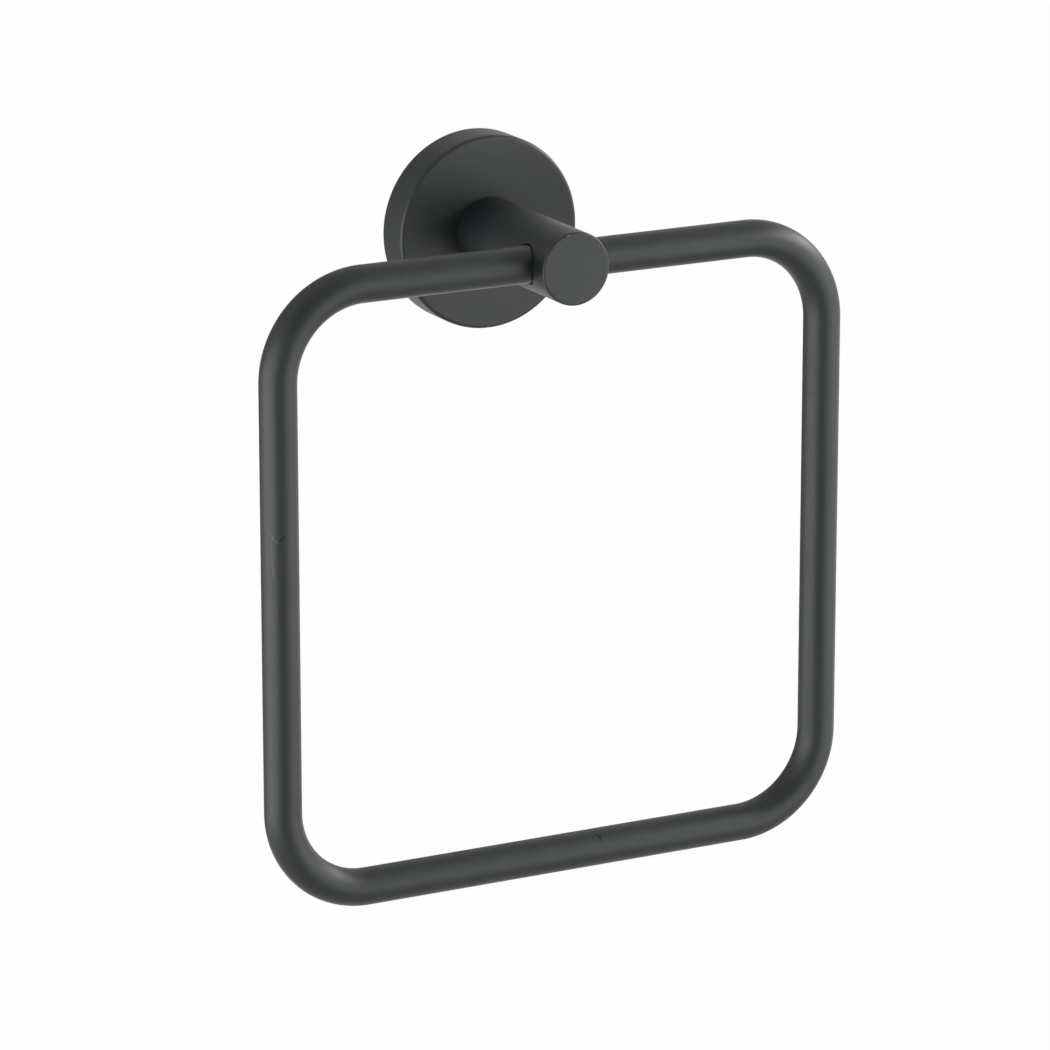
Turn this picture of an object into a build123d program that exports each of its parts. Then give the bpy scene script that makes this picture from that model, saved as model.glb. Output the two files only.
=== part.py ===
# Towel ring: a square ring of bent tube that hangs loose in a cross-bored post on a round wall flange.
#
# Millimetres. The wall is the plane Y = 0 and the room lies towards -Y. +Z is up, and +X is to the right of
# a person who faces the wall. The origin is the middle of the flange, on the wall.

from build123d import *

import os

# Ring
RING_WIDTH = 171.0  # over the outsides of the two uprights
RING_HEIGHT = 173.0  # over the top and bottom bars
TUBE_DIAMETER = 10.0
TUBE_WALL = 1.0
BEND_RADIUS = 24.0  # on the tube's centre line
RING_BORE_CLEARANCE = 0.4  # all round the tube, in the post's cross bore

# Pin that joins the two ends of the tube inside the post
JOINT_PIN_LENGTH = 36.0
JOINT_PIN_GLUE = 0.05  # glue line round the pin
JOINT_PIN_CHAMFER = 0.6

# Post
POST_DIAMETER = 19.5
POST_REACH = 60.0  # from the wall to the post's front face
POST_NOSE = 11.0  # from the axis of the ring's top bar to the post's front face
POST_EDGE_RADIUS = 0.5  # round the front face
POST_THREAD_DEPTH = 15.0  # of the tapped hole in the post's back

# Wall flange, a cup that is open towards the wall
FLANGE_DIAMETER = 52.5
FLANGE_DEPTH = 11.0
FLANGE_RIM_WALL = 3.0
FLANGE_FRONT_WALL = 2.5
FLANGE_EDGE_RADIUS = 1.0  # round the front face
FLANGE_BACK_BREAK = 0.3  # round the edge that meets the wall
FLANGE_INNER_RADIUS = 1.0  # in the corner inside the cup

# Mounting plate, screwed to the wall inside the flange
PLATE_THICKNESS = 5.0
PLATE_RIM_GAP = 0.3  # between the plate's edge and the inside of the flange
PLATE_EDGE_BREAK = 0.4
PLATE_FLAT_ANGLE = 15.0  # lean of the lower flat, which draws the flange to the wall
PLATE_HOLE_GAP = 1.5  # round the spring washer, in the plate's middle hole
WALL_HOLE_SPACING = 31.0
WALL_HOLE_DIAMETER = 5.0
WALL_HOLE_SINK = 9.0  # diameter of the countersink

# Screw and spring washer that hold the post to the flange
POST_SCREW_DIAMETER = 6.0
POST_SCREW_LENGTH = 16.0
POST_SCREW_HEAD = 10.5
POST_SCREW_HEAD_HEIGHT = 3.3
POST_SCREW_HEAD_FLAT = 5.6  # diameter of the flat on top of the domed head
POST_SCREW_KEY = 4.0  # across the flats of its hexagon socket
POST_SCREW_KEY_DEPTH = 2.1
WASHER_DIAMETER = 11.8
WASHER_THICKNESS = 1.6
WASHER_SLIT = 0.8
WASHER_SLIT_ANGLE = 25.0

# Grub screw in the flange's lower rim
GRUB_DIAMETER = 4.0
GRUB_LENGTH = 5.0
GRUB_RECESS = 0.4  # of its outer end below the rim's surface
GRUB_STANDOFF = 3.8  # from the wall to its axis
GRUB_TIP = 0.8  # diameter of the flat on its cone point
GRUB_KEY = 2.0
GRUB_KEY_DEPTH = 2.0

# Retaining screw in the post's underside, whose dog point runs in the groove between the tube's ends
RETAINER_DIAMETER = 4.0
RETAINER_RECESS = 0.5  # of its outer end inside the post's surface
RETAINER_DOG = 2.5
RETAINER_KEY = 2.0
RETAINER_KEY_DEPTH = 1.8
RETAINER_RUN_GAP = 0.3  # between the dog point and the tube's ends, and under the pin
RETAINER_BORE_GAP = 0.3  # from the end of its thread to the bore's wall

# Clearances and small edges that the fasteners share
THREAD_CLEARANCE = 0.05  # between a screw and its tapped hole, both without their threads
HOLE_CLEARANCE = 0.2  # between a screw and a plain hole
SEAT_CLEARANCE = 0.1  # between the grub screw's point and the plate's flat
SCREW_CHAMFER = 0.4

# Sizes that follow
tube_radius = TUBE_DIAMETER / 2
tube_bore_radius = tube_radius - TUBE_WALL
ring_span = RING_WIDTH - TUBE_DIAMETER
ring_drop = RING_HEIGHT - TUBE_DIAMETER
ring_standoff = POST_REACH - POST_NOSE
ring_bore_radius = tube_radius + RING_BORE_CLEARANCE
joint_pin_radius = tube_bore_radius - JOINT_PIN_GLUE
ring_groove_width = RETAINER_DOG + 2 * RETAINER_RUN_GAP
post_radius = POST_DIAMETER / 2
flange_radius = FLANGE_DIAMETER / 2
flange_inside_radius = flange_radius - FLANGE_RIM_WALL
flange_inside_depth = FLANGE_DEPTH - FLANGE_FRONT_WALL
plate_radius = flange_inside_radius - PLATE_RIM_GAP
plate_hole_radius = WASHER_DIAMETER / 2 + PLATE_HOLE_GAP
washer_front = flange_inside_depth
washer_back = washer_front - WASHER_THICKNESS
post_screw_radius = POST_SCREW_DIAMETER / 2
grub_radius = GRUB_DIAMETER / 2
grub_bottom = GRUB_RECESS - flange_radius
grub_top = grub_bottom + GRUB_LENGTH
retainer_radius = RETAINER_DIAMETER / 2
retainer_bottom = RETAINER_RECESS - post_radius
retainer_shoulder = -ring_bore_radius - RETAINER_BORE_GAP
retainer_top = -joint_pin_radius - RETAINER_RUN_GAP


def profile(corners, rounds=(), chamfers=()):
    """A flat face from its corner points, with some corners rounded or chamfered.

    rounds and chamfers hold pairs of a corner's number and its radius or length.
    """
    face = make_face(Polyline(*corners, close=True))
    for ease, pairs in ((fillet, rounds), (chamfer, chamfers)):
        for number, size in pairs:
            corner = face.vertices().sort_by_distance(Vector(*corners[number]))[0]
            face = ease(corner, size)
    return face


def turned(outline, rounds=(), chamfers=()):
    """A solid turned about the post's axis, from points of (radius, distance from the wall)."""
    corners = [(radius, -distance) for radius, distance in outline]
    return revolve(profile(corners, rounds, chamfers), axis=Axis.Y)


def drilled(radius, start, end, x=0.0):
    """A cylinder square to the wall, between two distances from it."""
    along = (Align.CENTER, Align.CENTER, Align.MIN)
    return Pos(x, -start, 0) * Rot(X=90) * Cylinder(radius, end - start, align=along)


def upright(radius, bottom, top, distance):
    """A vertical cylinder below or above the post's axis, at a distance from the wall."""
    along = (Align.CENTER, Align.CENTER, Align.MIN)
    return Pos(0, -distance, bottom) * Cylinder(radius, top - bottom, align=along)


def key_socket(across, depth):
    """The hexagon socket of a screw whose outer end lies at Z = 0 and whose point is up."""
    return extrude(RegularPolygon(across / 2, 6, major_radius=False), depth)


def wall_flange():
    """The cup that covers the mounting plate, with the post's screw hole and the grub screw's hole."""
    hole_radius = post_screw_radius + HOLE_CLEARANCE
    cup = turned(
        [
            (hole_radius, FLANGE_DEPTH),
            (flange_radius, FLANGE_DEPTH),
            (flange_radius, 0),
            (flange_inside_radius, 0),
            (flange_inside_radius, flange_inside_depth),
            (hole_radius, flange_inside_depth),
        ],
        rounds=[(1, FLANGE_EDGE_RADIUS), (4, FLANGE_INNER_RADIUS)],
        chamfers=[(2, FLANGE_BACK_BREAK)],
    )
    grub_hole_radius = grub_radius + THREAD_CLEARANCE
    return cup - upright(grub_hole_radius, -flange_radius, 0, GRUB_STANDOFF)


def post():
    """The round bar that carries the ring, with the ring's cross bore and two tapped holes."""
    bar = turned(
        [(0, FLANGE_DEPTH), (post_radius, FLANGE_DEPTH), (post_radius, POST_REACH), (0, POST_REACH)],
        rounds=[(2, POST_EDGE_RADIUS)],
    )
    cross_bore = Pos(0, -ring_standoff, 0) * Rot(Y=90) * Cylinder(ring_bore_radius, 2 * POST_DIAMETER)
    back_hole_radius = post_screw_radius + THREAD_CLEARANCE
    back_hole_end = FLANGE_DEPTH + POST_THREAD_DEPTH
    back_hole = turned(
        [
            (0, FLANGE_DEPTH),
            (back_hole_radius, FLANGE_DEPTH),
            (back_hole_radius, back_hole_end),
            (0, back_hole_end + back_hole_radius / 2),
        ]
    )
    retainer_hole_radius = retainer_radius + THREAD_CLEARANCE
    return bar - cross_bore - back_hole - upright(retainer_hole_radius, -post_radius, 0, ring_standoff)


def post_screw():
    """The domed screw that passes from inside the flange into the post's back."""
    head_end = washer_back - POST_SCREW_HEAD_HEIGHT
    rim = (POST_SCREW_HEAD / 2, -washer_back)
    crown = (POST_SCREW_HEAD_FLAT / 2, -head_end)
    dome = RadiusArc(rim, crown, -POST_SCREW_HEAD / 2)
    cap = Polyline(crown, (0, -head_end), (0, -washer_back), rim)
    head = revolve(make_face(dome + cap), axis=Axis.Y)
    thread_end = washer_back + POST_SCREW_LENGTH
    shank = turned(
        [(0, washer_back), (post_screw_radius, washer_back), (post_screw_radius, thread_end), (0, thread_end)],
        chamfers=[(2, SCREW_CHAMFER)],
    )
    socket = Pos(0, -head_end, 0) * Rot(X=90) * key_socket(POST_SCREW_KEY, POST_SCREW_KEY_DEPTH)
    return head + shank - socket


def spring_washer():
    """The split washer, flattened between the screw's head and the flange."""
    ring = drilled(WASHER_DIAMETER / 2, washer_back, washer_front)
    hole = drilled(post_screw_radius + HOLE_CLEARANCE, washer_back, washer_front)
    reach = (Align.CENTER, Align.CENTER, Align.MIN)
    slit = Rot(Z=WASHER_SLIT_ANGLE) * Box(WASHER_SLIT, 4 * WASHER_THICKNESS, WASHER_DIAMETER, align=reach)
    return ring - hole - Pos(0, -(washer_back + washer_front) / 2, 0) * slit


def mounting_plate():
    """The disc that two wall screws hold, with a leaning flat below for the grub screw to bear on."""
    disc = turned(
        [
            (plate_hole_radius, PLATE_THICKNESS),
            (plate_radius, PLATE_THICKNESS),
            (plate_radius, 0),
            (plate_hole_radius, 0),
        ],
        chamfers=[(1, PLATE_EDGE_BREAK), (2, PLATE_EDGE_BREAK)],
    )
    below = (Align.CENTER, Align.CENTER, Align.MAX)
    flat_place = Pos(0, -GRUB_STANDOFF - GRUB_TIP / 2, grub_top + SEAT_CLEARANCE)
    plate = disc - flat_place * Rot(X=PLATE_FLAT_ANGLE) * Box(*[2 * FLANGE_DIAMETER] * 3, align=below)
    hole_radius = WALL_HOLE_DIAMETER / 2
    sink_radius = WALL_HOLE_SINK / 2
    sink_start = PLATE_THICKNESS - (sink_radius - hole_radius)
    sink = turned(
        [
            (0, 0),
            (hole_radius, 0),
            (hole_radius, sink_start),
            (sink_radius, PLATE_THICKNESS),
            (0, PLATE_THICKNESS),
        ]
    )
    for side in (-1, 1):
        plate -= Pos(side * WALL_HOLE_SPACING / 2, 0, 0) * sink
    return plate


def flange_grub_screw():
    """The cone-pointed grub screw that locks the flange to the mounting plate."""
    cone_start = GRUB_LENGTH - (grub_radius - GRUB_TIP / 2)
    outline = [
        (0, 0),
        (grub_radius, 0),
        (grub_radius, cone_start),
        (GRUB_TIP / 2, GRUB_LENGTH),
        (0, GRUB_LENGTH),
    ]
    body = Rot(X=90) * revolve(profile(outline, chamfers=[(1, SCREW_CHAMFER)]), axis=Axis.Y)
    return Pos(0, -GRUB_STANDOFF, grub_bottom) * (body - key_socket(GRUB_KEY, GRUB_KEY_DEPTH))


def ring_retaining_screw():
    """The dog-pointed grub screw that keeps the ring central in the post and lets it swing."""
    shoulder = retainer_shoulder - retainer_bottom
    length = retainer_top - retainer_bottom
    dog_radius = RETAINER_DOG / 2
    outline = [
        (0, 0),
        (retainer_radius, 0),
        (retainer_radius, shoulder),
        (dog_radius, shoulder),
        (dog_radius, length),
        (0, length),
    ]
    edges = [(1, SCREW_CHAMFER), (2, SCREW_CHAMFER), (4, SCREW_CHAMFER / 2)]
    body = Rot(X=90) * revolve(profile(outline, chamfers=edges), axis=Axis.Y)
    return Pos(0, -ring_standoff, retainer_bottom) * (body - key_socket(RETAINER_KEY, RETAINER_KEY_DEPTH))


def ring_tube():
    """The tube, bent to a square from one end inside the post round to the other."""
    end = ring_groove_width / 2
    side = ring_span / 2
    corners = [(end, 0), (side, 0), (side, -ring_drop), (-side, -ring_drop), (-side, 0), (-end, 0)]
    hang = Plane(origin=(0, -ring_standoff, 0), x_dir=(1, 0, 0), z_dir=(0, -1, 0))
    route = hang * FilletPolyline(*corners, radius=BEND_RADIUS)
    section = Plane(origin=route @ 0, z_dir=route % 0) * (Circle(tube_radius) - Circle(tube_bore_radius))
    return sweep(section, path=route)


def ring_joint_pin():
    """The pin glued into both ends of the tube."""
    half = JOINT_PIN_LENGTH / 2
    outline = [(0, -half), (joint_pin_radius, -half), (joint_pin_radius, half), (0, half)]
    ends = [(1, JOINT_PIN_CHAMFER), (2, JOINT_PIN_CHAMFER)]
    pin = revolve(profile(outline, chamfers=ends), axis=Axis.Y)
    return Pos(0, -ring_standoff, 0) * Rot(Z=90) * pin


PIECES = (
    wall_flange,
    post,
    post_screw,
    spring_washer,
    mounting_plate,
    flange_grub_screw,
    ring_tube,
    ring_joint_pin,
    ring_retaining_screw,
)

os.makedirs("parts", exist_ok=True)
for piece in PIECES:
    export_step(piece(), f"parts/{piece.__name__}.step")
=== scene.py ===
"""Looks of a towel ring: a black-coated square ring of bent tube, hung in a cross-bored post on a flange.

Metres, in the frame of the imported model. The wall is the plane Y = 0, the room lies towards -Y, +Z is up.
"""

import logging
from abc import ABC, abstractmethod
from collections.abc import Callable, Sequence
from dataclasses import dataclass, field
from enum import Enum
from math import ceil, cos, pi, radians, sin, sqrt, tan
from typing import Any, ClassVar, Self

import bmesh
import bpy
from mathutils import Matrix, Vector


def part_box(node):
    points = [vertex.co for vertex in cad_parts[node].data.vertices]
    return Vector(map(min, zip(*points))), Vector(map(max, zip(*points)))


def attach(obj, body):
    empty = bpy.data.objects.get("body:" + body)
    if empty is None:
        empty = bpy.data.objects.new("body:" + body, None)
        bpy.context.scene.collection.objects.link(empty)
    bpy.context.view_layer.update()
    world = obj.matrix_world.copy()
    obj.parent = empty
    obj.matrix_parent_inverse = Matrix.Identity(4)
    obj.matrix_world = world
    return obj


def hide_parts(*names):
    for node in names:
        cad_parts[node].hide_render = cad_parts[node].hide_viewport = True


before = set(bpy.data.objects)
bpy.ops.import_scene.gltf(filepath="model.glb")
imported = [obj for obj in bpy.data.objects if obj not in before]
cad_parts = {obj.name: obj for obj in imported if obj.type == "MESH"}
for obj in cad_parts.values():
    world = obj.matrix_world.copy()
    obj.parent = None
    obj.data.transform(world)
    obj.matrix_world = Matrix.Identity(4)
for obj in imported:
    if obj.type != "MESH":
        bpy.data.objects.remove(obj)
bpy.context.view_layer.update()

MM = 0.001
MERGE_DISTANCE = 0.0005 * MM
CORNER_NEAR = 0.002 * MM
CUT_NEAR = 0.02 * MM
SHARP_ANGLE = radians(20.0)
TURN_STEPS = 192
SCREW_STEPS = 48
HEAD_STEPS = 96
THREAD_DEPTH = 0.6134
THREAD_ROOT_END = 4 / 16
THREAD_CREST_START = 9 / 16
THREAD_CREST_END = 11 / 16
LIGHT_WEIGHTS = (0.2126, 0.7152, 0.0722)

Colour = tuple[float, float, float]
Corner = tuple[float, float]
Place = tuple[float, float, float]

log = logging.getLogger("towel_ring")


class Body(Enum):
    """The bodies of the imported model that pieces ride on."""

    WALL = "wall_body"
    RING = "ring"


class Slot(Enum):
    """The record's material slots."""

    BLACK_COAT = "black_coat"
    ZINC_STEEL = "zinc_steel"
    DARK_STEEL = "dark_steel"


class Axis(Enum):
    """Where the turning axis of a shape, its own Z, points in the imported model's frame."""

    OUT_OF_WALL = Matrix.Rotation(pi / 2, 4, "X")
    UP = Matrix.Identity(4)
    ALONG_BAR = Matrix.Rotation(pi / 2, 4, "Y")


class Join(Enum):
    """How one closed shape acts on another."""

    CUT = "DIFFERENCE"
    WELD = "UNION"


# Shader writing


@dataclass(frozen=True)
class Wire:
    """A number in a shader, whose arithmetic adds Math nodes."""

    shader: "Shader"
    socket: bpy.types.NodeSocket | None

    def __add__(self, other: "Wire | float") -> "Wire":
        """This plus other."""
        return self.shader.maths("ADD", self, other)

    __radd__ = __add__

    def __sub__(self, other: "Wire | float") -> "Wire":
        """This less other."""
        return self.shader.maths("SUBTRACT", self, other)

    def __rsub__(self, other: float) -> "Wire":
        """Other less this."""
        return self.shader.maths("SUBTRACT", other, self)

    def __mul__(self, other: "Wire | float") -> "Wire":
        """This times other."""
        return self.shader.maths("MULTIPLY", self, other)

    __rmul__ = __mul__

    def __pow__(self, other: float) -> "Wire":
        """This to a power."""
        return self.shader.maths("POWER", self, other)

    def at_most(self, other: "Wire | float") -> "Wire":
        """The smaller of this and other."""
        return self.shader.maths("MINIMUM", self, other)

    def at_least(self, other: "Wire | float") -> "Wire":
        """The larger of this and other."""
        return self.shader.maths("MAXIMUM", self, other)


class Shader:
    """Writes the nodes of one material or of the world."""

    def __init__(self, tree: bpy.types.NodeTree) -> None:
        """Start from an empty tree.

        Args:
            tree: the node tree to write in.
        """
        tree.nodes.clear()
        self.tree = tree

    def node(
        self,
        kind: str,
        settings: dict[str, Any] | None = None,
        inputs: dict[str | int, Any] | None = None,
        output: str | int = 0,
    ) -> Wire:
        """Add one node.

        Args:
            kind: the node's type, without its ShaderNode prefix.
            settings: its properties, set first.
            inputs: values or wires for its sockets, by name, identifier or number.
            output: the socket that is handed back.

        Returns:
            The wire that leaves the node.
        """
        made = self.tree.nodes.new(f"ShaderNode{kind}")
        for key, value in (settings or {}).items():
            setattr(made, key, value)
        for key, value in (inputs or {}).items():
            socket = self._find(made.inputs, key)
            if isinstance(value, Wire):
                self.tree.links.new(value.socket, socket)
            else:
                socket.default_value = value
        return Wire(self, self._find(made.outputs, output) if made.outputs else None)

    @staticmethod
    def _find(sockets: Sequence[bpy.types.NodeSocket], key: str | int) -> bpy.types.NodeSocket:
        """The socket of that number, identifier or name."""
        if isinstance(key, int):
            return sockets[key]
        return next(s for s in sockets if key in (s.identifier, s.name))

    def maths(self, operation: str, *values: Wire | float) -> Wire:
        """A Math node on values or wires."""
        return self.node("Math", {"operation": operation}, dict(enumerate(values)))

    def vectors(self, operation: str, *values: Wire | Place, output: str = "Vector") -> Wire:
        """A Vector Math node on vectors."""
        return self.node("VectorMath", {"operation": operation}, dict(enumerate(values)), output)

    def blend(self, share: Wire | float, low: Wire | Colour, high: Wire | Colour) -> Wire:
        """A colour between two, by share."""
        ends = [c if isinstance(c, Wire) else (*c, 1.0) for c in (low, high)]
        sockets = {"Factor_Float": share, "A_Color": ends[0], "B_Color": ends[1]}
        return self.node("Mix", {"data_type": "RGBA"}, sockets, "Result_Color")

    def ease(self, value: Wire, start: float, end: float) -> Wire:
        """A smooth step of value, from 0 at start to 1 at end."""
        limits = {"Value": value, "From Min": start, "From Max": end}
        return self.node("MapRange", {"interpolation_type": "SMOOTHSTEP"}, limits)

    def noise(self, place: Wire, size: float, detail: float = 2.0) -> Wire:
        """Soft noise about 0.5, with features of that size in metres."""
        return self.node("TexNoise", None, {"Vector": place, "Scale": 1 / size, "Detail": detail})

    def object_place(self) -> Wire:
        """The place on the piece, in metres."""
        return self.node("TexCoord", output="Object")


def new_material(name: str) -> tuple[bpy.types.Material, Shader]:
    """An empty material and its shader.

    Args:
        name: the material's name.

    Returns:
        The material and the writer of its nodes.
    """
    material = bpy.data.materials.new(name)
    material.use_nodes = True
    return material, Shader(material.node_tree)


def principled(shader: Shader, inputs: dict[str, Any]) -> None:
    """End a material in a Principled BSDF.

    Args:
        shader: the material's shader.
        inputs: values and wires of the BSDF's sockets.
    """
    surface = shader.node("BsdfPrincipled", None, inputs)
    shader.node("OutputMaterial", None, {"Surface": surface})


# Finishes


@dataclass(frozen=True)
class Mark:
    """A fine line or speck in the coat.

    It runs from start to end, and fades from a share of its reach, its core, to nothing at its reach. Where
    shade is over 0 it is lighter than the coat, and where it is under 0 it is duller.
    """

    start: Place
    end: Place
    reach: float
    shade: float
    core: float = 0.25

    def mask(self, shader: Shader, place: Wire) -> Wire:
        """How much of the mark lies at a place.

        Args:
            shader: the coat's shader.
            place: the place on the piece, in metres.

        Returns:
            1 in the mark's core, down to 0 at its reach.
        """
        start = Vector(self.start) * MM
        run = Vector(self.end) * MM - start
        offset = shader.vectors("SUBTRACT", place, tuple(start))
        if run.length > CORNER_NEAR:
            along = shader.vectors("DOT_PRODUCT", offset, tuple(run / run.length_squared), output="Value")
            share = along.at_least(0.0).at_most(1.0)
            nearest = shader.node("VectorMath", {"operation": "SCALE"}, {0: tuple(run), "Scale": share})
            offset = shader.vectors("SUBTRACT", offset, nearest)
        distance = shader.vectors("LENGTH", offset, output="Value")
        return 1.0 - shader.ease(distance, self.core * self.reach * MM, self.reach * MM)


class Finish(ABC):
    """What a piece's surface is made of."""

    slot: ClassVar[Slot]

    @abstractmethod
    def material(self) -> bpy.types.Material:
        """A new material of this finish."""


@dataclass(frozen=True)
class BlackCoat(Finish):
    """Matt black powder coat, with a fine orange peel and a few marks of handling."""

    slot = Slot.BLACK_COAT
    name: str
    marks: tuple[Mark, ...] = ()
    colour: Colour = (0.0046, 0.0064, 0.0075)
    roughness: float = 0.46
    refraction: float = 1.44
    cloud_size: float = 9.0
    cloud_tone: float = 0.5
    cloud_roughness: float = 0.10
    peel_size: float = 0.9
    peel_height: float = 0.004
    grain_size: float = 0.16
    grain_tone: float = 0.35
    grain_roughness: float = 0.06
    grain_height: float = 0.0012
    tone_reach: float = 0.14
    mark_depth: float = 0.02
    mark_light: Colour = (0.20, 0.205, 0.21)
    mark_roughness: float = 0.1

    def material(self) -> bpy.types.Material:
        """The coat's material.

        Returns:
            A material with soft clouds of colour and gloss, orange peel, grain and the marks.
        """
        material, shader = new_material(self.name)
        place = shader.object_place()
        cloud = shader.noise(place, self.cloud_size * MM, 3.0)
        peel = shader.noise(place, self.peel_size * MM)
        grain = shader.noise(place, self.grain_size * MM)
        tone = (cloud - 0.5) * self.cloud_tone + (grain - 0.5) * self.grain_tone
        shares = (1 - self.tone_reach, 1 + self.tone_reach)
        dark, light = (tuple(share * part for part in self.colour) for share in shares)
        colour = shader.blend(tone + 0.5, dark, light)
        roughness = self.roughness + (cloud - 0.5) * self.cloud_roughness
        roughness = roughness + (grain - 0.5) * self.grain_roughness
        height = peel * (self.peel_height * MM) + grain * (self.grain_height * MM)
        for mark in self.marks:
            mask = mark.mask(shader, place)
            colour = shader.blend(mask * max(mark.shade, 0.0), colour, self.mark_light)
            roughness = roughness + mask * max(-mark.shade, self.mark_roughness)
            height = height - mask * (self.mark_depth * MM)
        bump = shader.node("Bump", None, {"Strength": 1.0, "Distance": 1.0, "Height": height})
        sockets = {"Base Color": colour, "Roughness": roughness, "IOR": self.refraction, "Normal": bump}
        principled(shader, sockets)
        return material


@dataclass(frozen=True)
class ZincPlate(Finish):
    """Matt zinc plate on steel, with turning lines, a faint spangle and a blue passivated sheen."""

    slot = Slot.ZINC_STEEL
    name: str
    axis: Axis
    middle: Place = (0.0, 0.0, 0.0)
    colour: Colour = (0.445, 0.455, 0.465)
    tint: Colour = (0.36, 0.385, 0.42)
    roughness: float = 0.46
    line_pitch: float = 0.18
    line_height: float = 0.0015
    line_roughness: float = 0.2
    spangle_size: float = 1.6
    spangle_share: float = 0.2
    stain_size: float = 7.0
    stain_start: float = 0.35
    stain_end: float = 0.85
    stain_roughness: float = 0.15

    def material(self) -> bpy.types.Material:
        """The plate's material.

        Returns:
            A metal whose fine lines run round the axis that the piece was turned about.
        """
        material, shader = new_material(self.name)
        place = shader.object_place()
        local = shader.vectors("SUBTRACT", place, tuple(Vector(self.middle) * MM))
        along = self.axis.value @ Vector((0.0, 0.0, 1.0))
        lift = shader.vectors("DOT_PRODUCT", local, tuple(along), output="Value")
        squared = shader.vectors("DOT_PRODUCT", local, local, output="Value") - lift * lift
        radius = squared.at_least(0.0) ** 0.5
        line_place = shader.node("CombineXYZ", None, {"X": radius, "Y": lift})
        lines = shader.noise(line_place, self.line_pitch * MM, 1.0)
        cells = {"Vector": place, "Scale": 1 / (self.spangle_size * MM)}
        spangle = shader.node("TexVoronoi", None, cells, "Color")
        fleck = shader.vectors("DOT_PRODUCT", spangle, LIGHT_WEIGHTS, output="Value")
        stain = shader.noise(place, self.stain_size * MM, 4.0)
        share = shader.ease(stain + fleck * self.spangle_share, self.stain_start, self.stain_end)
        colour = shader.blend(share, self.colour, self.tint)
        roughness = self.roughness + (lines - 0.5) * self.line_roughness
        roughness = roughness + (stain - 0.5) * self.stain_roughness
        bump = shader.node("Bump", None, {"Distance": 1.0, "Height": lines * (self.line_height * MM)})
        principled(shader, {"Base Color": colour, "Metallic": 1.0, "Roughness": roughness, "Normal": bump})
        return material


@dataclass(frozen=True)
class BlackOxide(Finish):
    """Oiled black oxide on steel, worn a little brighter in patches."""

    slot = Slot.DARK_STEEL
    name: str
    colour: Colour = (0.045, 0.045, 0.05)
    worn: Colour = (0.16, 0.155, 0.15)
    metallic: float = 0.85
    roughness: float = 0.38
    patch_size: float = 1.1
    wear_start: float = 0.62
    wear_end: float = 0.9
    grain_size: float = 0.12
    grain_wear: float = 0.25
    grain_roughness: float = 0.2
    grain_height: float = 0.001

    def material(self) -> bpy.types.Material:
        """The oxide's material.

        Returns:
            A dark metal with worn patches and a fine grain.
        """
        material, shader = new_material(self.name)
        place = shader.object_place()
        patch = shader.noise(place, self.patch_size * MM, 4.0)
        grain = shader.noise(place, self.grain_size * MM)
        wear = shader.ease(patch + grain * self.grain_wear, self.wear_start, self.wear_end)
        colour = shader.blend(wear, self.colour, self.worn)
        roughness = self.roughness + (grain - 0.5) * self.grain_roughness
        bump = shader.node("Bump", None, {"Distance": 1.0, "Height": grain * (self.grain_height * MM)})
        sockets = {"Base Color": colour, "Metallic": self.metallic, "Roughness": roughness, "Normal": bump}
        principled(shader, sockets)
        return material


# Mesh making


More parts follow.
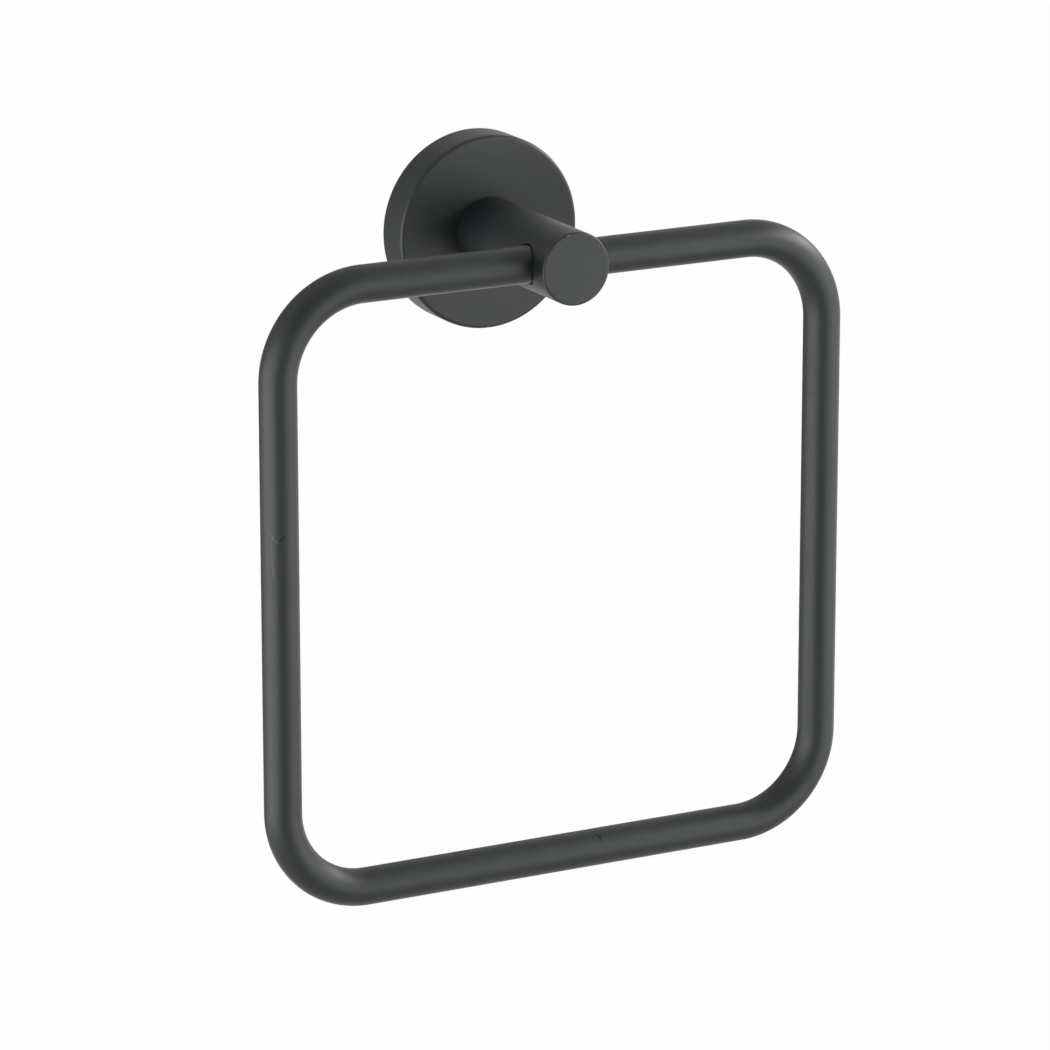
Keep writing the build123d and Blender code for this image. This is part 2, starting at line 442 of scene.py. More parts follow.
class Shape:
    """A closed mesh in the making."""

    def __init__(self) -> None:
        """Start with nothing."""
        self.mesh = bmesh.new()

    @classmethod
    def turned(cls, outline: Sequence[Corner], steps: int = TURN_STEPS) -> Self:
        """A solid of revolution about Z.

        Args:
            outline: corners of (radius, height). One that starts off the axis is a closed loop.
            steps: how many facets go round.

        Returns:
            The closed shape.
        """
        shape = cls()
        corners = [shape.mesh.verts.new((radius, 0.0, height)) for radius, height in outline]
        following = corners[1:] if outline[0][0] == 0.0 else corners[1:] + corners[:1]
        edges = [shape.mesh.edges.new(pair) for pair in zip(corners, following)]
        bmesh.ops.spin(
            shape.mesh,
            geom=corners + edges,
            cent=(0, 0, 0),
            axis=(0, 0, 1),
            angle=2 * pi,
            steps=steps,
            use_merge=True,
        )
        return shape.closed()

    @classmethod
    def rod(cls, radius: float, bottom: float, top: float, steps: int = TURN_STEPS) -> Self:
        """A plain cylinder about Z."""
        return cls.turned([(0.0, bottom), (radius, bottom), (radius, top), (0.0, top)], steps)

    @classmethod
    def hexagon(cls, across: float, bottom: float, top: float) -> Self:
        """A six-sided prism about Z.

        Args:
            across: the width across its flats.
            bottom: its lower end.
            top: its upper end.

        Returns:
            The closed shape.
        """
        shape = cls()
        rim = bmesh.ops.create_circle(shape.mesh, cap_ends=True, radius=across / sqrt(3), segments=6)
        bmesh.ops.translate(shape.mesh, verts=rim["verts"], vec=(0, 0, bottom))
        raised = bmesh.ops.extrude_face_region(shape.mesh, geom=shape.mesh.faces[:])
        tops = [part for part in raised["geom"] if isinstance(part, bmesh.types.BMVert)]
        bmesh.ops.translate(shape.mesh, verts=tops, vec=(0, 0, top - bottom))
        return shape.closed()

    @classmethod
    def threaded(cls, radius: float, pitch: float, bottom: float, top: float) -> Self:
        """A rod with a helical thread about Z.

        Args:
            radius: over the thread's crests.
            pitch: from crest to crest.
            bottom: its lower end.
            top: its upper end.

        Returns:
            The closed shape, cut square at both ends.
        """
        shape = cls()
        root = radius - THREAD_DEPTH * pitch
        groove = [
            (root, 0.0),
            (root, THREAD_ROOT_END),
            (radius, THREAD_CREST_START),
            (radius, THREAD_CREST_END),
            (root, 1.0),
        ]
        # The helix runs past both ends, where it is then cut square
        turns = ceil((top - bottom) / pitch) + 2
        start = bottom - 1.5 * pitch
        corners = [shape.mesh.verts.new((r, 0.0, start + rise * pitch)) for r, rise in groove]
        edges = [shape.mesh.edges.new(pair) for pair in zip(corners, corners[1:])]
        bmesh.ops.spin(
            shape.mesh,
            geom=corners + edges,
            cent=(0, 0, 0),
            axis=(0, 0, 1),
            dvec=(0, 0, pitch / SCREW_STEPS),
            angle=2 * pi * turns,
            steps=SCREW_STEPS * turns,
        )
        bmesh.ops.remove_doubles(shape.mesh, verts=shape.mesh.verts[:], dist=MERGE_DISTANCE)
        shape.trimmed((0, 0, bottom), (0, 0, -1))
        shape.trimmed((0, 0, top), (0, 0, 1))
        return shape.closed()

    def closed(self) -> Self:
        """Merge doubled corners and point every face outwards."""
        bmesh.ops.remove_doubles(self.mesh, verts=self.mesh.verts[:], dist=MERGE_DISTANCE)
        bmesh.ops.recalc_face_normals(self.mesh, faces=self.mesh.faces[:])
        return self

    def trimmed(self, place: Place, outwards: Place) -> Self:
        """Take away what lies beyond a plane, and cap the cut.

        Args:
            place: a point of the plane.
            outwards: the plane's normal, towards what is taken away.

        Returns:
            This shape.
        """
        everything = self.mesh.verts[:] + self.mesh.edges[:] + self.mesh.faces[:]
        cut = bmesh.ops.bisect_plane(
            self.mesh,
            geom=everything,
            dist=MERGE_DISTANCE,
            plane_co=place,
            plane_no=outwards,
            clear_outer=True,
        )
        rim = [part for part in cut["geom_cut"] if isinstance(part, bmesh.types.BMEdge)]
        bmesh.ops.holes_fill(self.mesh, edges=rim, sides=0)
        return self

    def tapered(self, end: float, inwards: float, radius: float) -> Self:
        """Cut a 45 degree lead-in on the end of a thread.

        Args:
            end: the height of the end.
            inwards: 1 where the shape lies above the end, -1 where it lies below.
            radius: at the very end.

        Returns:
            This shape.
        """
        for vert in self.mesh.verts:
            most = radius + max(0.0, (vert.co.z - end) * inwards)
            spread = vert.co.xy.length
            if spread > most:
                vert.co.xy *= most / spread
        return self

    def eased(self, corner: Corner, size: float, segments: int) -> Self:
        """Round the edge that a corner of the outline makes.

        Args:
            corner: its radius and height.
            size: how far the rounding reaches.
            segments: facets across the rounding.

        Returns:
            This shape.
        """
        radius, height = corner

        def lies_there(place: Vector) -> bool:
            return abs(place.z - height) < CORNER_NEAR and abs(place.xy.length - radius) < CORNER_NEAR

        return self.eased_where(lies_there, size, segments)

    def eased_where(self, lies_there: Callable[[Vector], bool], size: float, segments: int) -> Self:
        """Round the sharp edges whose two ends pass a test.

        Args:
            lies_there: the test of a place.
            size: how far the rounding reaches.
            segments: facets across the rounding.

        Returns:
            This shape.
        """
        edges = [
            edge
            for edge in self.mesh.edges
            if edge.calc_face_angle(0.0) > SHARP_ANGLE and all(lies_there(vert.co) for vert in edge.verts)
        ]
        bmesh.ops.bevel(
            self.mesh,
            geom=edges,
            offset=size,
            offset_type="OFFSET",
            affect="EDGES",
            segments=segments,
            profile=0.5,
            material=-1,
            clamp_overlap=True,
        )
        return self

    def placed(self, axis: Axis, place: Place = (0.0, 0.0, 0.0)) -> Self:
        """Turn the shape's Z to an axis and move its origin.

        Args:
            axis: where its Z points.
            place: where its origin goes.

        Returns:
            This shape.
        """
        matrix = Matrix.Translation(place) @ axis.value
        bmesh.ops.transform(self.mesh, matrix=matrix, verts=self.mesh.verts[:])
        return self

    def joined(self, join: Join, *others: "Shape") -> Self:
        """Cut other closed shapes out of this one, or weld them to it.

        Args:
            join: which of the two.
            others: the other shapes, which are used up.

        Returns:
            This shape.
        """
        for other in others:
            mine, theirs = self.piece("work"), other.piece("tool")
            modifier = mine.modifiers.new("join", "BOOLEAN")
            modifier.operation = join.value
            modifier.solver = "EXACT"
            modifier.object = theirs
            evaluated = mine.evaluated_get(bpy.context.evaluated_depsgraph_get())
            result = bpy.data.meshes.new_from_object(evaluated)
            self.mesh = bmesh.new()
            self.mesh.from_mesh(result)
            for mesh in (mine.data, theirs.data, result):
                bpy.data.meshes.remove(mesh)
        return self

    def piece(self, name: str) -> bpy.types.Object:
        """Make an object of the shape, which is used up.

        Args:
            name: the object's name.

        Returns:
            The object, at the origin, smooth but for its sharp edges.
        """
        for edge in self.mesh.edges:
            edge.smooth = edge.calc_face_angle(0.0) < SHARP_ANGLE
        for face in self.mesh.faces:
            face.smooth = True
        data = bpy.data.meshes.new(name)
        self.mesh.to_mesh(data)
        self.mesh.free()
        made = bpy.data.objects.new(name, data)
        bpy.context.scene.collection.objects.link(made)
        return made


# Sub-assemblies


@dataclass
class Assembly(ABC):
    """Pieces that are made and dressed together, and ride on one body."""

    body: ClassVar[Body]
    made: dict[str, bpy.types.Object] = field(default_factory=dict, init=False)

    @abstractmethod
    def build(self) -> None:
        """Make the meshes of the pieces."""

    @abstractmethod
    def dress(self) -> None:
        """Give the pieces their finishes."""

    def keep(self, shape: Shape, name: str, node: str) -> None:
        """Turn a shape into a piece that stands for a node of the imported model.

        Args:
            shape: the finished shape, in place.
            name: the piece's name.
            node: the node that it stands for.
        """
        piece = shape.piece(name)
        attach(piece, self.body.value)
        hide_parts(node)
        self.made[node] = piece

    def finish(self, node: str, finish: Finish) -> None:
        """Give the piece that stands for a node its finish."""
        self.made[node].data.materials.append(finish.material())


def spread(node: str) -> Vector:
    """The size of a node's box."""
    low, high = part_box(node)
    return high - low


def standoff(node: str) -> float:
    """How far the middle of a node's box stands out from the wall."""
    low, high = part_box(node)
    return -(low.y + high.y) / 2


@dataclass
class WallFlange(Assembly):
    """The cup on the wall, with the grub screw that locks it."""

    body = Body.WALL
    radius: float = spread("wall_flange").x / 2
    depth: float = spread("wall_flange").y
    rim_wall: float = 3.0 * MM
    front_wall: float = 2.5 * MM
    edge_radius: float = 1.0 * MM
    back_break: float = 0.3 * MM
    inner_radius: float = 1.0 * MM
    screw_hole: float = 3.2 * MM
    grub_radius: float = spread("flange_grub_screw").x / 2
    grub_length: float = spread("flange_grub_screw").z
    grub_bottom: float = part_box("flange_grub_screw")[0].z
    grub_standoff: float = standoff("flange_grub_screw")
    grub_tip: float = 0.4 * MM
    grub_key: float = 2.0 * MM
    pitch: float = 0.7 * MM
    lead_in: float = 0.4 * MM
    thread_room: float = 0.05 * MM

    def build(self) -> None:
        """Turn the cup, drill its rim, and cut the grub screw.

        Two more corners beside the cup's front edge keep its face and side flat to the light.
        """
        inside = self.radius - self.rim_wall
        floor = self.depth - self.front_wall
        cup = Shape.turned(
            [
                (self.screw_hole, self.depth),
                (self.radius - 2 * self.edge_radius, self.depth),
                (self.radius, self.depth),
                (self.radius, self.depth - 2 * self.edge_radius),
                (self.radius, 0.0),
                (inside, 0.0),
                (inside, floor),
                (self.screw_hole, floor),
            ]
        )
        cup.eased((self.radius, self.depth), self.edge_radius, segments=8)
        cup.eased((self.radius, 0.0), self.back_break, segments=2)
        cup.eased((inside, floor), self.inner_radius, segments=5)
        cup.placed(Axis.OUT_OF_WALL)
        axis = (0.0, -self.grub_standoff, 0.0)
        drill = Shape.rod(self.grub_radius + self.thread_room, -2 * self.radius, 0.0, SCREW_STEPS)
        cup.joined(Join.CUT, drill.placed(Axis.UP, axis))
        self.keep(cup, "coated_wall_flange", "wall_flange")

        shoulder = self.grub_length - (self.grub_radius - self.grub_tip)
        screw = Shape.threaded(self.grub_radius, self.pitch, 0.0, shoulder)
        screw.tapered(0.0, 1.0, self.grub_radius - self.lead_in)
        point = Shape.turned(
            [
                (0.0, shoulder - self.pitch),
                (self.grub_radius - self.pitch, shoulder - self.pitch),
                (self.grub_radius - self.pitch, shoulder + self.pitch - self.grub_tip),
                (self.grub_tip, self.grub_length),
                (0.0, self.grub_length),
            ],
            SCREW_STEPS,
        )
        screw.joined(Join.WELD, point)
        screw.joined(Join.CUT, Shape.hexagon(self.grub_key, -self.pitch, self.grub_key))
        screw.placed(Axis.UP, (0.0, -self.grub_standoff, self.grub_bottom))
        self.keep(screw, "cone_point_grub_screw", "flange_grub_screw")

    def dress(self) -> None:
        """Coat the cup, and blacken the grub screw."""
        marks = (
            Mark((15.95, -11.0, 14.29), (15.95, -11.0, 14.29), 0.32, 0.12),
            Mark((-10.1, -11.0, 20.5), (-8.3, -11.0, 20.9), 0.24, 0.06),
            Mark((-0.60, -10.70, -25.95), (-0.20, -10.75, -25.91), 0.42, 0.90),
        )
        self.finish("wall_flange", BlackCoat("black_coat_flange", marks))
        self.finish("flange_grub_screw", BlackOxide("black_oxide_grub"))


@dataclass
class Post(Assembly):
    """The cross-bored post, with the dog-pointed screw that keeps the ring in it."""

    body = Body.WALL
    radius: float = spread("post").x / 2
    back: float = -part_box("post")[1].y
    reach: float = -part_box("post")[0].y
    edge_radius: float = 0.5 * MM
    bore_radius: float = spread("ring_tube").y / 2 + 0.4 * MM
    bore_standoff: float = standoff("ring_tube")
    bore_break: float = 0.12 * MM
    screw_hole: float = 3.05 * MM
    screw_hole_depth: float = 15.0 * MM
    retainer_radius: float = spread("ring_retaining_screw").x / 2
    retainer_bottom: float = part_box("ring_retaining_screw")[0].z
    retainer_length: float = spread("ring_retaining_screw").z
    retainer_gap: float = 0.3 * MM
    dog_radius: float = 1.25 * MM
    key: float = 2.0 * MM
    key_depth: float = 1.8 * MM
    pitch: float = 0.7 * MM
    lead_in: float = 0.4 * MM
    thread_room: float = 0.05 * MM

    def build(self) -> None:
        """Turn the post, bore it for the ring and its screws, and cut the retaining screw.

        Two more corners beside the post's front edge keep its face and side true to the light.
        """
        bar = Shape.turned(
            [
                (0.0, self.back),
                (self.radius, self.back),
                (self.radius, self.reach - 2 * self.edge_radius),
                (self.radius, self.reach),
                (self.radius - 2 * self.edge_radius, self.reach),
                (0.0, self.reach),
            ]
        )
        bar.eased((self.radius, self.reach), self.edge_radius, segments=6)
        bar.placed(Axis.OUT_OF_WALL)
        axis = (0.0, -self.bore_standoff, 0.0)
        bore = Shape.rod(self.bore_radius, -2 * self.radius, 2 * self.radius).placed(Axis.ALONG_BAR, axis)
        hole_end = self.back + self.screw_hole_depth
        back_hole = Shape.turned(
            [
                (0.0, self.back - self.screw_hole),
                (self.screw_hole, self.back - self.screw_hole),
                (self.screw_hole, hole_end),
                (0.0, hole_end + self.screw_hole / 2),
            ],
            SCREW_STEPS,
        )
        drill = Shape.rod(self.retainer_radius + self.thread_room, -2 * self.radius, 0.0, SCREW_STEPS)
        bar.joined(Join.CUT, bore, back_hole.placed(Axis.OUT_OF_WALL), drill.placed(Axis.UP, axis))
        bar.eased_where(self.is_bore_mouth, self.bore_break, segments=2)
        self.keep(bar, "coated_post", "post")

        shoulder = -self.bore_radius - self.retainer_gap - self.retainer_bottom
        screw = Shape.threaded(self.retainer_radius, self.pitch, 0.0, shoulder)
        screw.tapered(0.0, 1.0, self.retainer_radius - self.lead_in)
        screw.tapered(shoulder, -1.0, self.retainer_radius - self.lead_in)
        dog = Shape.rod(self.dog_radius, shoulder - self.pitch, self.retainer_length, SCREW_STEPS)
        dog.eased((self.dog_radius, self.retainer_length), self.lead_in / 2, segments=2)
        screw.joined(Join.WELD, dog)
        screw.joined(Join.CUT, Shape.hexagon(self.key, -self.pitch, self.key_depth))
        screw.placed(Axis.UP, (0.0, -self.bore_standoff, self.retainer_bottom))
        self.keep(screw, "dog_point_retaining_screw", "ring_retaining_screw")

    def is_bore_mouth(self, place: Vector) -> bool:
        """Whether a place lies on the edge where the bore leaves the post's side."""
        height = (place.y + self.bore_standoff, place.z)
        on_bore = abs(Vector(height).length - self.bore_radius) < CUT_NEAR
        return on_bore and abs(place.xz.length - self.radius) < CUT_NEAR

    def dress(self) -> None:
        """Coat the post, and blacken the retaining screw."""
        marks = (Mark((-2.60, -59.97, 9.05), (-2.10, -59.96, 9.20), 0.24, 0.60),)
        self.finish("post", BlackCoat("black_coat_post", marks))
        self.finish("ring_retaining_screw", BlackOxide("black_oxide_retainer"))


@dataclass
class Ring(Assembly):
    """The tube bent to a square, with the pin that joins its ends."""

    body = Body.RING
    width: float = spread("ring_tube").x
    height: float = spread("ring_tube").z
    tube_radius: float = spread("ring_tube").y / 2
    top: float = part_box("ring_tube")[1].z
    axis_standoff: float = standoff("ring_tube")
    tube_wall: float = 1.0 * MM
    bend_radius: float = 24.0 * MM
    end_gap: float = 3.1 * MM
    pin_radius: float = spread("ring_joint_pin").z / 2
    pin_length: float = spread("ring_joint_pin").x
    pin_chamfer: float = 0.6 * MM
    tube_steps: int = 96
    bend_steps: int = 40

    def build(self) -> None:
        """Bend the tube, and turn the pin."""
        tube = Shape()
        outer = self.bend(tube, self.tube_radius)
        inner = self.bend(tube, self.tube_radius - self.tube_wall)
        for ends in zip(outer, inner):
            bmesh.ops.bridge_loops(tube.mesh, edges=[edge for loop in ends for edge in loop])
        self.keep(tube.closed(), "coated_ring_tube", "ring_tube")

        half = self.pin_length / 2
        pin = Shape.rod(self.pin_radius, -half, half, SCREW_STEPS)
        for end in (-half, half):
            pin.eased((self.pin_radius, end), self.pin_chamfer, segments=1)
        pin.placed(Axis.ALONG_BAR, (0.0, -self.axis_standoff, self.top - self.tube_radius))
        self.keep(pin, "ring_end_pin", "ring_joint_pin")

    def bend(self, tube: Shape, radius: float) -> tuple[list[bmesh.types.BMEdge], list[bmesh.types.BMEdge]]:
        """Sweep a circle round the square, by straight runs and quarter turns.

        Args:
            tube: the shape to add the wall to.
            radius: the circle's radius.

        Returns:
            The edges of the wall's first and last rims.
        """
        mesh = tube.mesh
        axis_height = self.top - self.tube_radius
        side = self.width / 2 - self.tube_radius - self.bend_radius
        drop = self.height - 2 * self.tube_radius - self.bend_radius
        first_end = Vector((self.end_gap / 2, -self.axis_standoff, axis_height))
        start = Matrix.Translation(first_end) @ Axis.ALONG_BAR.value
        circle = bmesh.ops.create_circle(mesh, segments=self.tube_steps, radius=radius, matrix=start)
        first = list({edge for vert in circle["verts"] for edge in vert.link_edges})
        rim = first
        middles = [
            (side, axis_height - self.bend_radius),
            (side, axis_height - drop),
            (-side, axis_height - drop),
            (-side, axis_height - self.bend_radius),
        ]
        heading = Vector((1.0, 0.0, 0.0))
        quarter = Matrix.Rotation(pi / 2, 3, "Y")
        for x, z in middles:
            middle = Vector((x, -self.axis_standoff, z))
            rim = self.run(mesh, rim, heading, middle)
            turn = bmesh.ops.spin(
                mesh,
                geom=rim + list({vert for edge in rim for vert in edge.verts}),
                cent=middle,
                axis=(0, 1, 0),
                angle=pi / 2,
                steps=self.bend_steps,
            )
            rim = [part for part in turn["geom_last"] if isinstance(part, bmesh.types.BMEdge)]
            heading = quarter @ heading
        rim = self.run(mesh, rim, heading, Vector((-self.end_gap / 2, -self.axis_standoff, axis_height)))
        return first, rim

    @staticmethod
    def run(
        mesh: bmesh.types.BMesh, rim: list[bmesh.types.BMEdge], heading: Vector, stop: Vector
    ) -> list[bmesh.types.BMEdge]:
        """Extrude a rim straight on until it is level with a point.

        Args:
            mesh: the mesh that holds the rim.
            rim: the edges to extrude.
            heading: which way they go.
            stop: the point to be level with.

        Returns:
            The edges of the new rim.
        """
        place = rim[0].verts[0].co
        length = (stop - place).dot(heading)
        grown = bmesh.ops.extrude_edge_only(mesh, edges=rim)["geom"]
        verts = [part for part in grown if isinstance(part, bmesh.types.BMVert)]
        bmesh.ops.translate(mesh, verts=verts, vec=heading * length)
        return [part for part in grown if isinstance(part, bmesh.types.BMEdge)]

    def dress(self) -> None:
        """Coat the tube with the marks that it has from handling, and plate the pin."""
        marks = (
            Mark((-84.35, -52.19, -62.29), (-83.92, -52.65, -63.96), 0.40, 0.28),
            Mark((-83.92, -52.65, -63.96), (-82.91, -53.38, -64.23), 0.42, 0.16),
            Mark((-82.77, -53.46, -64.13), (-82.15, -53.72, -63.53), 0.42, -0.50),
            Mark((-82.15, -53.72, -63.53), (-81.44, -53.91, -62.70), 0.38, -0.40),
            Mark((-79.78, -53.95, -60.59), (-78.37, -53.52, -58.75), 0.80, 0.05),
            Mark((-84.34, -52.20, -64.55), (-84.36, -52.17, -67.49), 0.34, 0.22),
            Mark((-84.34, -52.20, -68.55), (-84.05, -52.52, -73.59), 0.34, 0.22),
            Mark((-84.05, -52.52, -73.59), (-83.72, -52.82, -84.81), 0.28, 0.10),
            Mark((10.60, -51.44, -158.64), (11.43, -52.00, -159.00), 0.40, -0.35),
            Mark((11.43, -52.00, -159.00), (11.66, -52.38, -159.32), 0.50, -0.60),
            Mark((11.66, -52.38, -159.32), (11.62, -53.18, -160.26), 0.30, -0.40),
            Mark((75.80, -50.70, -45.40), (77.10, -52.66, -43.70), 0.60, 0.08),
            Mark((80.20, -54.00, -72.20), (81.50, -53.90, -71.60), 0.50, 0.06),
        )
        self.finish("ring_tube", BlackCoat("black_coat_ring", marks))
        middle = (0.0, -self.axis_standoff / MM, (self.top - self.tube_radius) / MM)
        self.finish("ring_joint_pin", ZincPlate("zinc_pin", Axis.ALONG_BAR, middle))


@dataclass
class WallPlate(Assembly):
    """The disc that two wall screws hold behind the flange."""

    body = Body.WALL
    radius: float = spread("mounting_plate").x / 2
    thickness: float = spread("mounting_plate").y
    flat_lean: float = radians(15.0)
    flat_low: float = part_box("mounting_plate")[0].z
    edge_break: float = 0.4 * MM
    middle_hole: float = 7.4 * MM
    hole_spacing: float = 31.0 * MM
    hole_radius: float = 2.5 * MM
    sink_radius: float = 4.5 * MM

    def build(self) -> None:
        """Turn the disc, mill its leaning flat, and drill the two countersunk holes."""
        disc = Shape.turned(
            [
                (self.middle_hole, self.thickness),
                (self.radius, self.thickness),
                (self.radius, 0.0),
                (self.middle_hole, 0.0),
            ]
        )
        for height in (0.0, self.thickness):
            disc.eased((self.radius, height), self.edge_break, segments=2)
            disc.eased((self.middle_hole, height), self.edge_break / 2, segments=1)
        disc.placed(Axis.OUT_OF_WALL)
        disc.trimmed(self.flat_place(), (0.0, sin(self.flat_lean), -cos(self.flat_lean)))
        sink_start = self.thickness - (self.sink_radius - self.hole_radius)
        beyond = self.thickness
        for side in (-1, 1):
            sink = Shape.turned(
                [
                    (0.0, -beyond),
                    (self.hole_radius, -beyond),
                    (self.hole_radius, sink_start),
                    (self.sink_radius + beyond, self.thickness + beyond),
                    (0.0, self.thickness + beyond),
                ],
                HEAD_STEPS,
            )
            disc.joined(Join.CUT, sink.placed(Axis.OUT_OF_WALL, (side * self.hole_spacing / 2, 0.0, 0.0)))
        self.keep(disc.closed(), "zinc_mounting_plate", "mounting_plate")

    def flat_place(self) -> Place:
        """A point on the leaning flat."""
        return (0.0, -self.thickness, self.flat_low)

    def dress(self) -> None:
        """Plate the disc."""
        self.finish("mounting_plate", ZincPlate("zinc_plate", Axis.OUT_OF_WALL))


@dataclass
class PostFastening(Assembly):
    """The domed screw and the split washer that hold the post to the flange."""

    body = Body.WALL
    head_radius: float = spread("post_screw").x / 2
    head_back: float = -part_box("post_screw")[1].y
    head_height: float = 3.3 * MM
    head_flat: float = 2.8 * MM
    head_steps: int = 8
    thread_end: float = -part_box("post_screw")[0].y
    thread_radius: float = 3.0 * MM
    pitch: float = 1.0 * MM
    lead_in: float = 0.4 * MM
    key: float = 4.0 * MM
    key_depth: float = 2.1 * MM
    washer_radius: float = spread("spring_washer").x / 2
    washer_hole: float = 3.2 * MM
    washer_back: float = -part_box("spring_washer")[1].y
    washer_front: float = -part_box("spring_washer")[0].y
    washer_edge: float = 0.15 * MM
    slit: float = 0.8 * MM
    slit_lean: float = radians(25.0)

    def build(self) -> None:
        """Turn and thread the screw, and split the washer."""
        seat = self.head_back + self.head_height
        head = Shape.turned([(0.0, seat), *self.dome(seat), (0.0, self.head_back)], HEAD_STEPS)
        shank = Shape.threaded(self.thread_radius, self.pitch, seat - self.pitch, self.thread_end)
        shank.tapered(self.thread_end, -1.0, self.thread_radius - self.lead_in)
        head.joined(Join.WELD, shank)
        socket = Shape.hexagon(self.key, self.head_back - self.pitch, self.head_back + self.key_depth)
        head.joined(Join.CUT, socket)
        self.keep(head.placed(Axis.OUT_OF_WALL), "domed_post_screw", "post_screw")

        washer = Shape.turned(
            [
                (self.washer_hole, self.washer_back),
                (self.washer_radius, self.washer_back),
                (self.washer_radius, self.washer_front),
                (self.washer_hole, self.washer_front),
            ],
            HEAD_STEPS,
        )
        for height in (self.washer_back, self.washer_front):
            washer.eased((self.washer_radius, height), self.washer_edge, segments=2)
        washer.placed(Axis.OUT_OF_WALL)
        washer.joined(Join.CUT, self.slit_tool())
        self.keep(washer, "split_spring_washer", "spring_washer")

    def dome(self, seat: float) -> list[Corner]:
        """The head's outline from its rim to its flat, an arc of the head's own radius.

        Args:
            seat: the height of the head's underside.

        Returns:
            The arc's corners.
        """
        rim = Vector((self.head_radius, seat))
        crown = Vector((self.head_flat, self.head_back))
        chord = crown - rim
        sag = sqrt(self.head_radius**2 - chord.length_squared / 4)
        middle = (rim + crown) / 2 + Vector((chord.y, -chord.x)).normalized() * sag
        start = (rim - middle).angle_signed(Vector((1.0, 0.0)))
        end = (crown - middle).angle_signed(Vector((1.0, 0.0)))
        angles = [start + (end - start) * step / self.head_steps for step in range(self.head_steps + 1)]
        radius = self.head_radius
        return [(middle.x + radius * cos(angle), middle.y + radius * sin(angle)) for angle in angles]

    def slit_tool(self) -> Shape:
        """The slanting blade that splits the washer.

        Returns:
            The closed shape to cut away.
        """
        blade = Shape()
        bmesh.ops.create_cube(blade.mesh, size=1.0)
        verts = blade.mesh.verts[:]
        depth = 4 * (self.washer_front - self.washer_back)
        bmesh.ops.scale(blade.mesh, verts=verts, vec=(self.slit, depth, self.washer_radius + self.slit))
        bmesh.ops.translate(blade.mesh, verts=verts, vec=(0.0, 0.0, (self.washer_radius + self.slit) / 2))
        lean = Matrix.Rotation(self.slit_lean, 3, "Z")
        bmesh.ops.rotate(blade.mesh, verts=verts, cent=(0.0, 0.0, 0.0), matrix=lean)
        middle = -(self.washer_back + self.washer_front) / 2
        bmesh.ops.translate(blade.mesh, verts=verts, vec=(0.0, middle, 0.0))
        return blade.closed()

    def dress(self) -> None:
        """Plate the screw and the washer."""
        self.finish("post_screw", ZincPlate("zinc_screw", Axis.OUT_OF_WALL))
        self.finish("spring_washer", ZincPlate("zinc_washer", Axis.OUT_OF_WALL))


# Studio


def outwards(azimuth: float, elevation: float) -> Vector:
    """A unit vector from the object.

    Args:
        azimuth: degrees round from -Y towards +X.
        elevation: degrees above the horizon.

    Returns:
        The vector.
    """
    turn, rise = radians(azimuth), radians(elevation)
    return Vector((sin(turn) * cos(rise), -cos(turn) * cos(rise), sin(rise)))


@dataclass(frozen=True)
class Panel:
    """A rectangle that faces the object, sized by the angles that it fills there."""

    name: str
    azimuth: float
    elevation: float
    half_width: float
    half_height: float
    distance: float = 0.95

    @property
    def width(self) -> float:
        """Its level side."""
        return 2 * self.distance * tan(radians(self.half_width))

    @property
    def height(self) -> float:
        """Its other side."""
        return 2 * self.distance * tan(radians(self.half_height))

    def stand(self, middle: Vector) -> Matrix:
        """Where it stands.

        Args:
            middle: the point that it faces.

        Returns:
            The matrix of its place, with its Z away from that point.
        """
        out = outwards(self.azimuth, self.elevation)
        return Matrix.LocRotScale(middle + out * self.distance, out.to_track_quat("Z", "Y"), None)


@dataclass(frozen=True)
class SoftBox(Panel):
    """A soft lamp."""

    radiance: float = 1.0


@dataclass(frozen=True)
class Card(Panel):
    """A matt card that only reflections show."""

    tone: float = 0.5
    roughness: float = 0.9


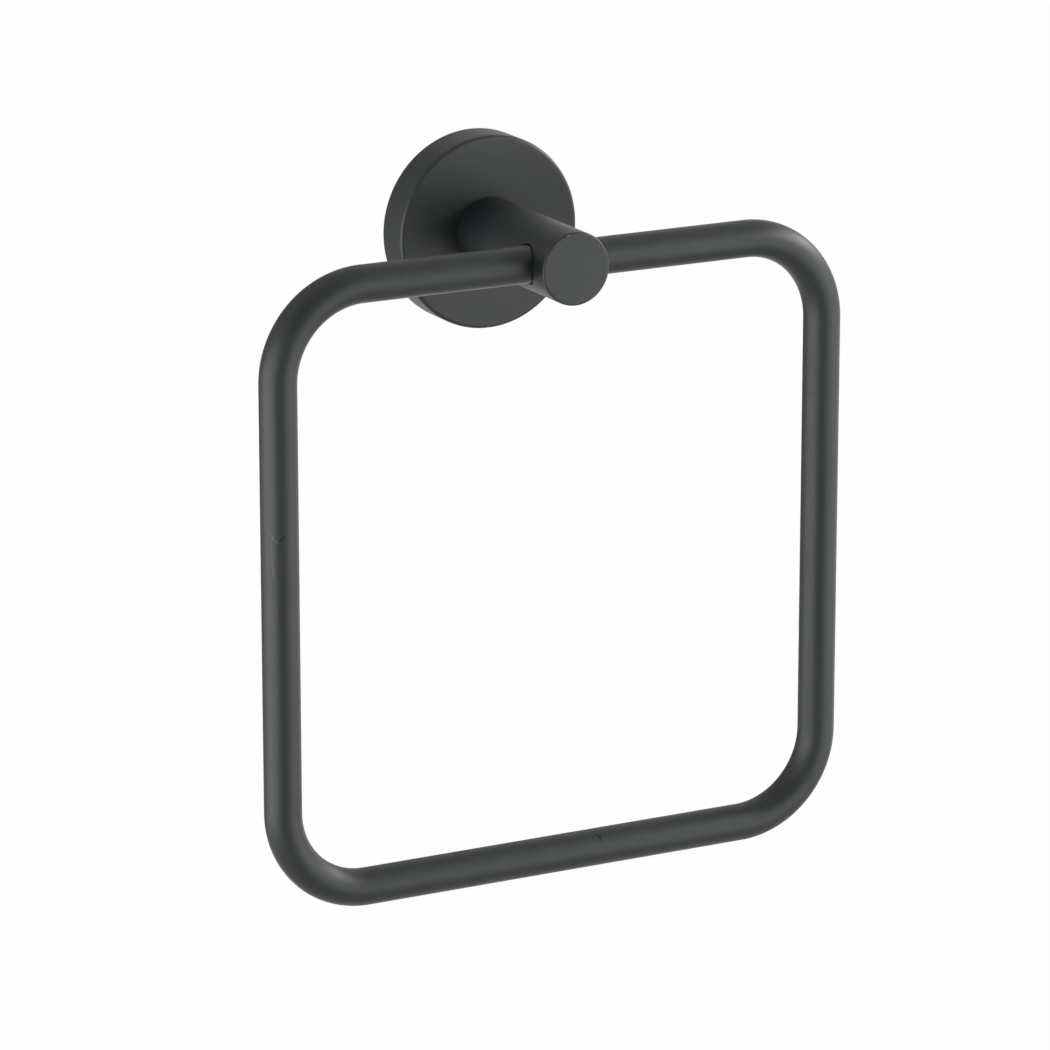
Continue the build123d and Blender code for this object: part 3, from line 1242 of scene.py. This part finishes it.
@dataclass
class Studio:
    """A pale floor far below, soft light from all round, and the photograph's camera."""

    azimuth: float = -27.66
    elevation: float = 15.705
    distance: float = 1.45825
    aim: Place = (-9.292 * MM, -49.0 * MM, -70.255 * MM)
    lens: float = 190.009
    sensor: float = 36.0
    clip_start: float = 0.05
    clip_end: float = 100.0
    floor_height: float = -1.2
    floor_size: float = 30.0
    floor_colour: Colour = (0.85, 0.85, 0.85)
    floor_white: float = 0.985
    sky_strength: float = 0.25
    lamps: tuple[SoftBox, ...] = (
        SoftBox("left_lamp", -82.7, -6.8, 33.0, 23.0, radiance=3.77),
        SoftBox("right_lamp", 79.0, 24.8, 27.0, 4.0, radiance=18.3),
        SoftBox("front_lamp", 45.5, -3.6, 30.5, 26.5, radiance=2.12),
        SoftBox("left_back_lamp", -127.0, -14.0, 9.0, 18.0, radiance=0.9),
        SoftBox("right_back_lamp", 104.0, -14.0, 14.0, 10.0, radiance=0.8),
        SoftBox("high_back_lamp", 155.0, 24.0, 16.0, 16.0, radiance=0.32),
        SoftBox("low_back_lamp", 168.0, -36.0, 20.0, 14.0, radiance=0.71),
    )
    cards: tuple[Card, ...] = (
        Card("grey_card", -177.0, 5.0, 33.0, 38.0, distance=1.2, tone=0.5),
        Card("high_card", -25.0, 36.0, 25.0, 18.0, distance=2.0, tone=0.75),
    )

    def build(self) -> None:
        """Set up the floor, the light and the camera."""
        self.lay_floor()
        self.light_sky()
        for lamp in self.lamps:
            self.hang(lamp)
        for card in self.cards:
            self.stand(card)
        self.set_camera()
        bpy.context.scene.view_settings.view_transform = "Standard"

    @staticmethod
    def seen(shader: Shader) -> Wire:
        """1 for rays that show the background: those of the camera, of gloss and of glass."""
        names = ("Is Camera Ray", "Is Glossy Ray", "Is Transmission Ray")
        camera, gloss, glass = (shader.node("LightPath", output=name) for name in names)
        return camera.at_least(gloss).at_least(glass)

    def lay_floor(self) -> None:
        """A wide pale floor that shows white and keeps the object's shadow."""
        half = self.floor_size / 2
        size = Matrix.Diagonal((half, half, 1.0, 1.0))
        floor = self.sheet("pale_floor", Matrix.Translation((0.0, 0.0, self.floor_height)) @ size)
        material, shader = new_material("pale_floor")
        matt = shader.node("BsdfDiffuse", None, {"Color": (*self.floor_colour, 1.0)})
        white = shader.node("Emission", None, {"Color": (1.0, 1.0, 1.0, 1.0), "Strength": 1.0})
        share = self.seen(shader) * self.floor_white
        mixed = shader.node("MixShader", None, {0: share, 1: matt, 2: white})
        shader.node("OutputMaterial", None, {"Surface": mixed})
        floor.data.materials.append(material)

    @staticmethod
    def sheet(name: str, matrix: Matrix) -> bpy.types.Object:
        """A flat square of the stage.

        Args:
            name: the object's name.
            matrix: takes a square that reaches 1 either way to its place and size.

        Returns:
            The object.
        """
        mesh = bmesh.new()
        bmesh.ops.create_grid(mesh, x_segments=1, y_segments=1, size=1.0, matrix=matrix)
        data = bpy.data.meshes.new(name)
        mesh.to_mesh(data)
        mesh.free()
        made = bpy.data.objects.new(name, data)
        bpy.context.scene.collection.objects.link(made)
        return made

    def light_sky(self) -> None:
        """Dim even light from all round, which shows as white."""
        world = bpy.data.worlds.new("studio")
        world.use_nodes = True
        bpy.context.scene.world = world
        shader = Shader(world.node_tree)
        plain = (1.0, 1.0, 1.0, 1.0)
        soft = shader.node("Background", None, {"Color": plain, "Strength": self.sky_strength})
        white = shader.node("Background", None, {"Color": plain, "Strength": 1.0})
        mixed = shader.node("MixShader", None, {0: self.seen(shader), 1: soft, 2: white})
        shader.node("OutputWorld", None, {"Surface": mixed})

    def hang(self, lamp: SoftBox) -> None:
        """Hang one lamp, facing the point that the camera is aimed at."""
        data = bpy.data.lights.new(lamp.name, "AREA")
        data.shape = "RECTANGLE"
        data.size = lamp.width
        data.size_y = lamp.height
        data.energy = lamp.radiance * pi * lamp.width * lamp.height
        hung = bpy.data.objects.new(lamp.name, data)
        hung.matrix_world = lamp.stand(Vector(self.aim))
        bpy.context.scene.collection.objects.link(hung)

    def stand(self, card: Card) -> None:
        """Stand one card, facing the point that the camera is aimed at."""
        size = Matrix.Diagonal((card.width / 2, card.height / 2, 1.0, 1.0))
        made = self.sheet(card.name, card.stand(Vector(self.aim)) @ size)
        made.visible_camera = False
        material, shader = new_material(card.name)
        grey = (card.tone, card.tone, card.tone, 1.0)
        principled(shader, {"Base Color": grey, "Roughness": card.roughness})
        made.data.materials.append(material)

    def set_camera(self) -> None:
        """Place the camera where the photograph was taken from."""
        data = bpy.data.cameras.new("photo_camera")
        data.lens = self.lens
        data.sensor_width = self.sensor
        data.clip_start = self.clip_start
        data.clip_end = self.clip_end
        out = outwards(self.azimuth, self.elevation)
        camera = bpy.data.objects.new("photo_camera", data)
        place = Vector(self.aim) + out * self.distance
        camera.matrix_world = Matrix.LocRotScale(place, out.to_track_quat("Z", "Y"), None)
        bpy.context.scene.collection.objects.link(camera)
        bpy.context.scene.camera = camera


def main() -> None:
    """Build and dress every sub-assembly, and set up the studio."""
    logging.basicConfig(level=logging.INFO, format="%(name)s: %(message)s")
    for assembly in (WallFlange(), Post(), Ring(), WallPlate(), PostFastening()):
        assembly.build()
        assembly.dress()
        for node, piece in assembly.made.items():
            log.info("%s stands for %s, %d faces", piece.name, node, len(piece.data.polygons))
    Studio().build()


if __name__ == "__main__":
    main()
